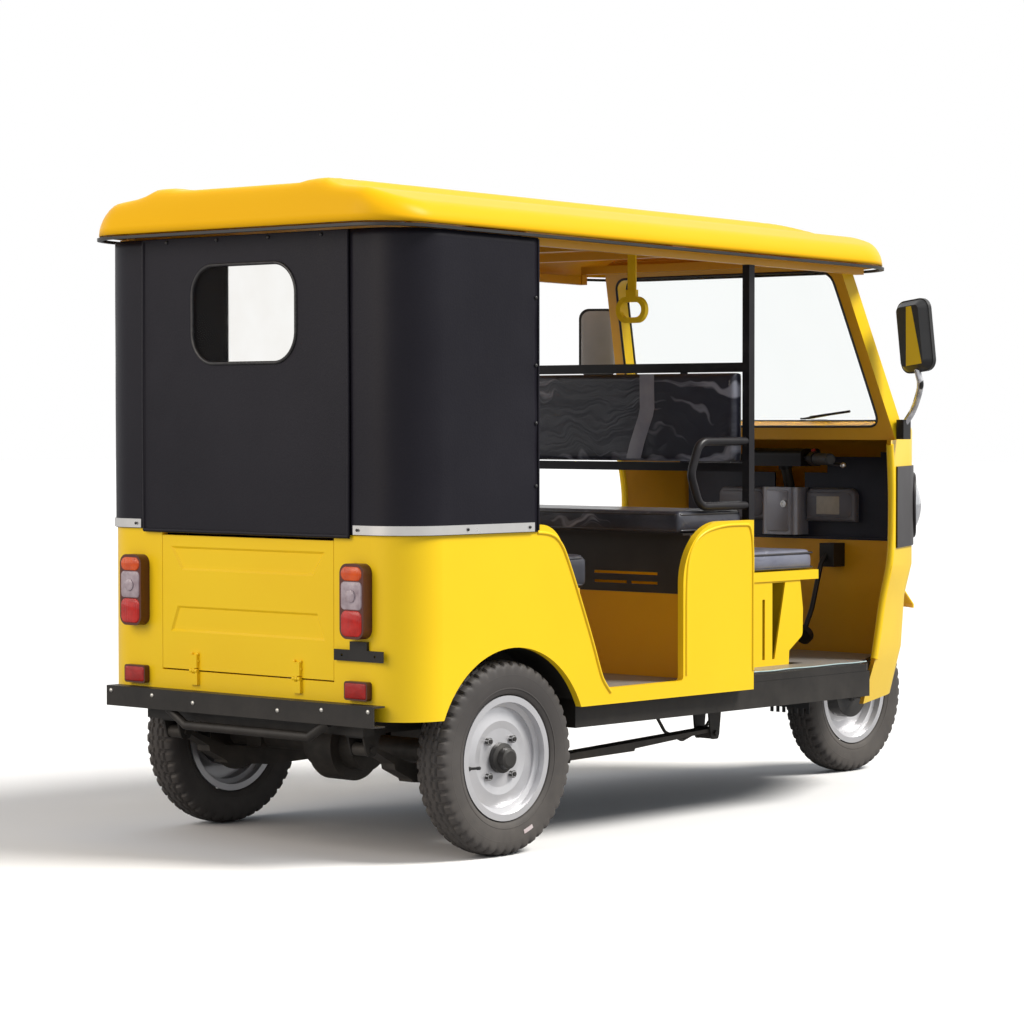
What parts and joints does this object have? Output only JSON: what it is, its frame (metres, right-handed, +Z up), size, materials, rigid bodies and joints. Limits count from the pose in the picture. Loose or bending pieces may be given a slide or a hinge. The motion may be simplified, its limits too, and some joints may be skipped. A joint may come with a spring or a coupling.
{
  "type": "auto rickshaw",
  "caption": "Electric passenger three-wheeler with a handlebar, canopy roof, canvas rear, bench and jump seats, and a drop-down tailgate",
  "frame": {"origin": "on the ground under the middle of the whole vehicle's box", "axes": "+X forward, +Y left, +Z up"},
  "size_m": [3.009, 1.3896, 1.7864],
  "materials": {
    "body_yellow": "glossy golden yellow enamel",
    "roof_yellow": "glossy golden yellow moulded shell",
    "black_metal": "satin black paint",
    "steel_silver": "silver wheel enamel",
    "tyre_rubber": "matte black rubber",
    "canvas_black": "satin black coated canvas",
    "clear_film": "clear flexible sheet",
    "clear_glass": "clear laminated glass",
    "aluminium_trim": "brushed strip",
    "seat_vinyl": "dark vinyl under clear film",
    "seat_vinyl_blue": "grey-blue vinyl under clear film",
    "mat_grey": "ribbed grey rubber",
    "dash_navy": "grained dark navy plastic",
    "dash_grey": "grained grey plastic",
    "trim_brown": "grained dark brown-grey plastic",
    "lamp_red": "ribbed red lens",
    "lamp_clear": "clear ribbed lens",
    "black_rubber": "black rubber",
    "strap_yellow": "moulded yellow plastic",
    "mirror_black": "black shell"
  },
  "bodies": {
    "frame_and_body": {"backrest_cushion": "seat_vinyl", "battery_box": "black_metal", "bench_back": "seat_vinyl", "bench_back_frame": "black_metal", "bench_box": "black_metal", "bench_cushion": "seat_vinyl", "body_sides": "body_yellow", "brake_cables": "black_rubber", "brake_pedal": "black_metal", "canvas_sides": "canvas_black", "canvas_trim": "aluminium_trim", "chassis_frame": "black_metal", "column_cover": "dash_grey", "dash_panel": "dash_navy", "door_mirrors": "mirror_black", "driver_seat_base": "body_yellow", "driver_seat_cushion": "seat_vinyl_blue", "firewall": "body_yellow", "floor": "black_metal", "floor_mats": "mat_grey", "front_fender": "body_yellow", "glove_boxes": "dash_grey", "grab_handles": "black_metal", "grab_straps": "strap_yellow", "headlamps": "lamp_clear", "jump_seat_cushion": "seat_vinyl", "jump_seat_panel": "black_metal", "jump_seat_riser": "body_yellow", "leaf_springs": "black_metal", "mudflap": "black_rubber", "nose_shell": "body_yellow", "nose_trim": "trim_brown", "pillar_frame": "black_metal", "plate_bracket": "black_metal", "rear_axle": "black_metal", "rear_bumper": "black_metal", "rear_flap": "canvas_black", "rear_lamps": "lamp_red", "rear_panel": "body_yellow", "rear_window_pane": "clear_film", "roof_edging": "black_rubber", "roof_frame": "black_metal", "roof_shell": "roof_yellow", "wheel_arches": "black_metal", "windscreen_frame": "body_yellow", "windscreen_glass": "clear_glass", "wiper": "black_metal"},
    "steering": {"fork": "black_metal", "handlebar": "black_metal"},
    "front_wheel": {"front_tyre": "tyre_rubber", "front_rim": "steel_silver", "front_hub": "black_metal"},
    "rear_left_wheel": {"rear_left_tyre": "tyre_rubber", "rear_left_rim": "steel_silver", "rear_left_hub": "black_metal"},
    "rear_right_wheel": {"rear_right_tyre": "tyre_rubber", "rear_right_rim": "steel_silver", "rear_right_hub": "black_metal"},
    "tailgate": {"tailgate": "body_yellow"}
  },
  "joints": [
    {"name": "steering_turn", "type": "hinge", "parent": "frame_and_body", "child": "steering", "pos_m": [0.93, 0, 1], "axis": [-0.309, 0, 0.9511], "range_deg": [-40, 40]},
    {"name": "front_wheel_spin", "type": "hinge", "parent": "steering", "child": "front_wheel", "pos_m": [1.242, 0, 0.26], "axis": [0, 1, 0], "continuous": true},
    {"name": "rear_left_wheel_spin", "type": "hinge", "parent": "frame_and_body", "child": "rear_left_wheel", "pos_m": [-1.032, 0.529, 0.26], "axis": [0, 1, 0], "continuous": true},
    {"name": "rear_right_wheel_spin", "type": "hinge", "parent": "frame_and_body", "child": "rear_right_wheel", "pos_m": [-1.032, -0.529, 0.26], "axis": [0, 1, 0], "continuous": true},
    {"name": "tailgate_hinge", "type": "hinge", "parent": "frame_and_body", "child": "tailgate", "pos_m": [-1.443, 0, 0.476], "axis": [0, -1, 0], "range_deg": [0, 90]}
  ]
}
